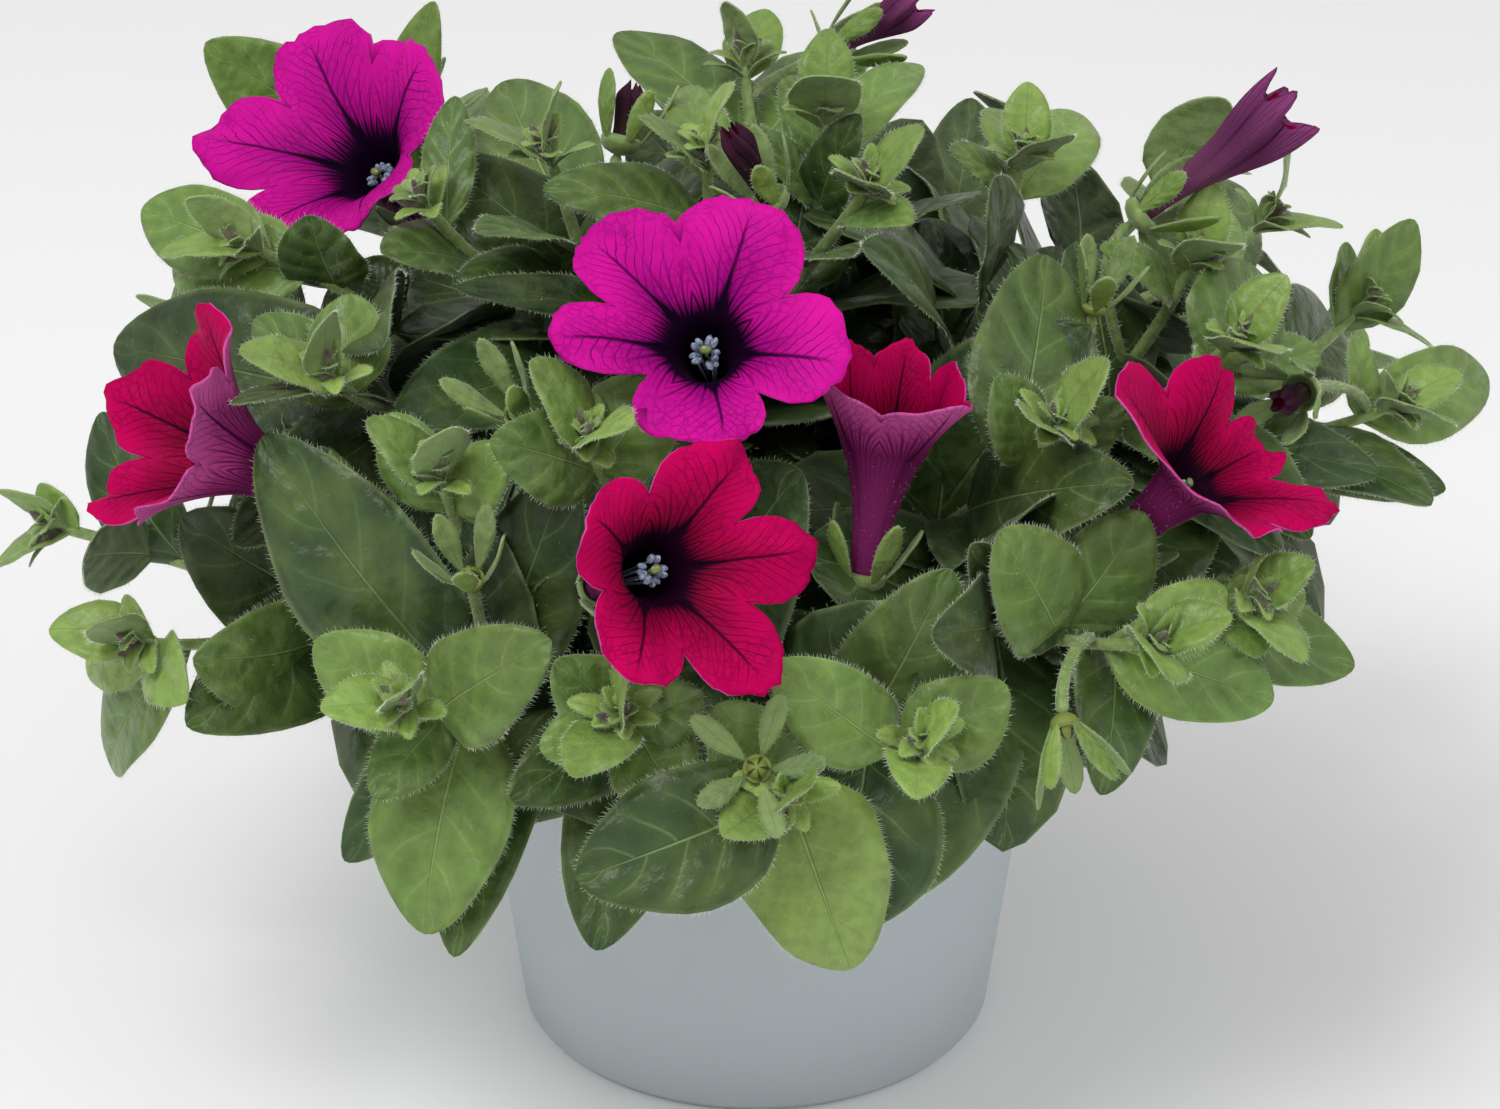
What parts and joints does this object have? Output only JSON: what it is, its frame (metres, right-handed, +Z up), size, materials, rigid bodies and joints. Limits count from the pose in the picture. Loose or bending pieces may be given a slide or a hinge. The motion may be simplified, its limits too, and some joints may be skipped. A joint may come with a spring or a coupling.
{
  "type": "potted petunia",
  "caption": "Petunia in a plain tapered pot: a mound of leafy stems with broad oval leaves, open funnel blooms, furled buds and empty calyces over soil.",
  "frame": {"origin": "centre of the pot's underside, on the surface that it stands on", "axes": "+Z up along the pot's axis, -Y towards the front as pictured, +X to the right"},
  "size_m": [0.2976, 0.2815, 0.2084],
  "materials": {
    "pot": "matte pale blue-grey",
    "soil": "dark loose potting soil",
    "green": "soft green leaves and stems with short pale hairs",
    "petal_magenta": "satin magenta petals with dark veins and a near-black throat",
    "petal_crimson": "satin crimson-magenta petals with dark veins and mauve backs",
    "bud": "dark purple furled petals",
    "anther": "pale blue-grey pollen",
    "pistil": "moist yellow-green"
  },
  "bodies": {
    "root": {"pot": "pot", "soil": "soil", "bloom_back_left": "petal_magenta", "stamens_back_left": "anther", "pistil_back_left": "pistil", "bloom_centre": "petal_magenta", "stamens_centre": "anther", "pistil_centre": "pistil", "bloom_front": "petal_crimson", "stamens_front": "anther", "pistil_front": "pistil", "bloom_left": "petal_crimson", "stamens_left": "anther", "pistil_left": "pistil", "bloom_upright": "petal_crimson", "stamens_upright": "anther", "pistil_upright": "pistil", "bloom_right": "petal_crimson", "stamens_right": "anther", "pistil_right": "pistil", "bud_top": "bud", "bud_right": "bud", "bud_centre": "bud", "stem_front_left": "green", "stem_front_middle": "green", "stem_front_right": "green", "stem_right_front": "green", "stem_right_middle": "green", "stem_right": "green", "stem_far_right": "green", "stem_top_right": "green", "stem_top_front": "green", "stem_top_back": "green", "stem_top_left": "green", "stem_left_top": "green", "stem_left": "green", "stem_back_right": "green", "stem_back_middle": "green", "stem_back_left": "green"}
  },
  "joints": []
}
